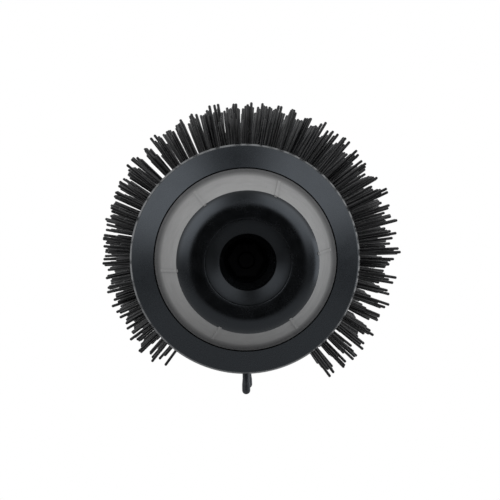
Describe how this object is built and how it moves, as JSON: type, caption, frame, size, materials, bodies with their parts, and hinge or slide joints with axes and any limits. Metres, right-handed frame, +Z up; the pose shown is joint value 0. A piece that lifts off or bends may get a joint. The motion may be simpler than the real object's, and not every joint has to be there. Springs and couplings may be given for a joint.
{
  "type": "round thermal brush",
  "caption": "Round barrel hair brush with nylon bristle tufts, a spinning finger nose with a bore, and a handle that stores a sliding sectioning pin.",
  "frame": {"origin": "on the brush's axis, half way along the straight wall of the nose's bore", "axes": "+Y along the axis from the nose to the handle, -Z through the row of guide pins, +Z up"},
  "size_m": [0.073, 0.2504, 0.0677],
  "materials": {
    "nose_satin": "satin moulded plastic with a fine grain",
    "nose_skin": "dull grey soft-touch skin, finely speckled",
    "insert_black": "satin black moulded plastic",
    "cap_plastic": "satin slate-black moulded plastic",
    "ceramic_coating": "rolled sheet with a dark speckled ceramic coating",
    "core_plastic": "plain black moulded plastic",
    "seam_plastic": "satin black moulded plastic",
    "bristle_nylon": "black heat-resistant nylon filament",
    "grip_rubber": "soft-touch matt rubber",
    "plain_steel": "turned and ground steel",
    "black_steel": "blackened steel",
    "ring_metal": "dark brushed ring",
    "brass": "turned brass",
    "bush_nylon": "natural nylon",
    "o_ring_rubber": "black rubber"
  },
  "bodies": {
    "brush": {"tip_cap": "cap_plastic", "rear_collar": "cap_plastic", "end_cap": "cap_plastic", "barrel_sleeve": "ceramic_coating", "core_tube": "core_plastic", "handle_core": "core_plastic", "seam_strip": "seam_plastic", "bristle_strip_01": "bristle_nylon", "bristle_strip_02": "bristle_nylon", "bristle_strip_03": "bristle_nylon", "bristle_strip_04": "bristle_nylon", "bristle_strip_05": "bristle_nylon", "bristle_strip_06": "bristle_nylon", "bristle_strip_07": "bristle_nylon", "bristle_strip_08": "bristle_nylon", "bristle_strip_09": "bristle_nylon", "bristle_strip_10": "bristle_nylon", "bristle_strip_11": "bristle_nylon", "bristle_strip_12": "bristle_nylon", "bristle_strip_13": "bristle_nylon", "soft_grip": "grip_rubber", "tie_rod": "black_steel", "tip_nut": "black_steel", "tip_washer": "black_steel", "joint_ring": "ring_metal", "nose_bush": "brass", "threaded_insert": "brass", "pin_bush": "bush_nylon"},
    "nose": {"nose_knob": "nose_satin", "nose_sleeve": "nose_skin", "nose_insert": "insert_black"},
    "pin": {"sectioning_pin": "plain_steel", "pin_knob": "cap_plastic", "pin_o_ring": "o_ring_rubber"}
  },
  "joints": [
    {"name": "nose_spin", "type": "hinge", "parent": "brush", "child": "nose", "pos_m": [0, 0, 0], "axis": [0, 1, 0], "continuous": true},
    {"name": "pin_slide", "type": "slide", "parent": "brush", "child": "pin", "axis": [0, 1, 0], "range_m": [0, 0.075]}
  ]
}
